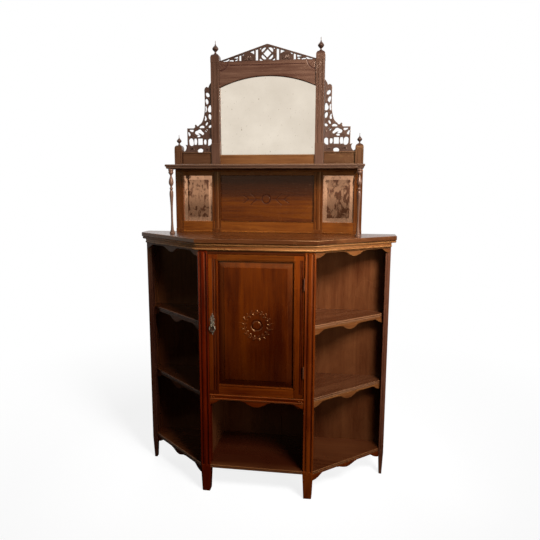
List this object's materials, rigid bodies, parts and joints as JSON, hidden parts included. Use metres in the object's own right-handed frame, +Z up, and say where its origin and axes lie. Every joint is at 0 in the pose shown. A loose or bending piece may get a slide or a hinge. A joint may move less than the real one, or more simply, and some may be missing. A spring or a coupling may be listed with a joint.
{
  "type": "chiffonier",
  "caption": "Mirror-backed breakfront chiffonier: centre cupboard door over an open compartment, canted open shelves at the ends, turned columns, pierced frets and gable.",
  "frame": {"origin": "middle of the footprint box, on the floor under the feet", "axes": "+Z up, front faces -Y, +X to the right as seen by someone facing the front"},
  "size_m": [1.168, 0.356, 1.976],
  "materials": {
    "mahogany_carcase": "worn satin french polish, warm red-brown",
    "mahogany_superstructure": "satin french polish, greyer brown",
    "plain_boards": "dull stained boards",
    "mirror_glass": "silvered plate glass with bevelled edges",
    "aged_brass": "dark tarnished brass",
    "lock_steel": "dull worn steel"
  },
  "bodies": {
    "carcase": {"countertop": "mahogany_carcase", "frieze_moulding": "mahogany_carcase", "front_post_left": "mahogany_carcase", "front_post_right": "mahogany_carcase", "outer_post_left": "mahogany_carcase", "outer_post_right": "mahogany_carcase", "return_panels": "mahogany_carcase", "cupboard_side_left": "mahogany_carcase", "cupboard_side_right": "mahogany_carcase", "back_board": "plain_boards", "bottom_shelf": "mahogany_carcase", "niche_shelf_low_left": "mahogany_carcase", "niche_shelf_low_right": "mahogany_carcase", "niche_shelf_high_left": "mahogany_carcase", "niche_shelf_high_right": "mahogany_carcase", "cupboard_floor": "plain_boards", "door_bearer_rail": "mahogany_carcase", "centre_apron": "mahogany_carcase", "cupboard_shelf": "plain_boards", "shelf_battens": "plain_boards", "head_rail": "mahogany_carcase", "door_stop": "plain_boards", "scalloped_aprons": "mahogany_carcase", "foot_aprons": "mahogany_carcase", "carcase_hinge_leaves": "aged_brass", "hinge_pins": "aged_brass", "strike_plate": "aged_brass", "lower_rail": "mahogany_superstructure", "lower_head_rail": "mahogany_superstructure", "lower_stiles": "mahogany_superstructure", "centre_panel": "mahogany_superstructure", "side_mirrors": "mirror_glass", "lower_backing": "plain_boards", "column_left": "mahogany_superstructure", "column_right": "mahogany_superstructure", "mirror_shelf": "mahogany_superstructure", "tall_post_left": "mahogany_superstructure", "tall_post_right": "mahogany_superstructure", "short_posts": "mahogany_superstructure", "finials": "mahogany_superstructure", "mirror_rail": "mahogany_superstructure", "arch_rail": "mahogany_superstructure", "main_mirror": "mirror_glass", "mirror_backing": "plain_boards", "side_rails": "mahogany_superstructure", "fret_left": "mahogany_superstructure", "fret_right": "mahogany_superstructure", "pediment": "mahogany_superstructure"},
    "door": {"door_stile_lock": "mahogany_carcase", "door_stile_hinge": "mahogany_carcase", "door_rail_top": "mahogany_carcase", "door_rail_bottom": "mahogany_carcase", "door_panel": "mahogany_carcase", "handle_plate": "aged_brass", "lock_case": "lock_steel", "door_hinge_leaves": "aged_brass"},
    "ring": {"handle_ring": "aged_brass"},
    "bolt": {"lock_bolt": "lock_steel"}
  },
  "joints": [
    {"name": "door_hinge", "type": "hinge", "parent": "carcase", "child": "door", "pos_m": [0.2003, -0.16355, 0.75725], "axis": [0, 0, 1], "range_deg": [0, 110]},
    {"name": "handle_swing", "type": "hinge", "parent": "door", "child": "ring", "pos_m": [-0.184, -0.165, 0.761], "axis": [-1, 0, 0], "range_deg": [0, 75]},
    {"name": "bolt_throw", "type": "slide", "parent": "door", "child": "bolt", "axis": [-1, 0, 0], "range_m": [0, 0.008]}
  ]
}
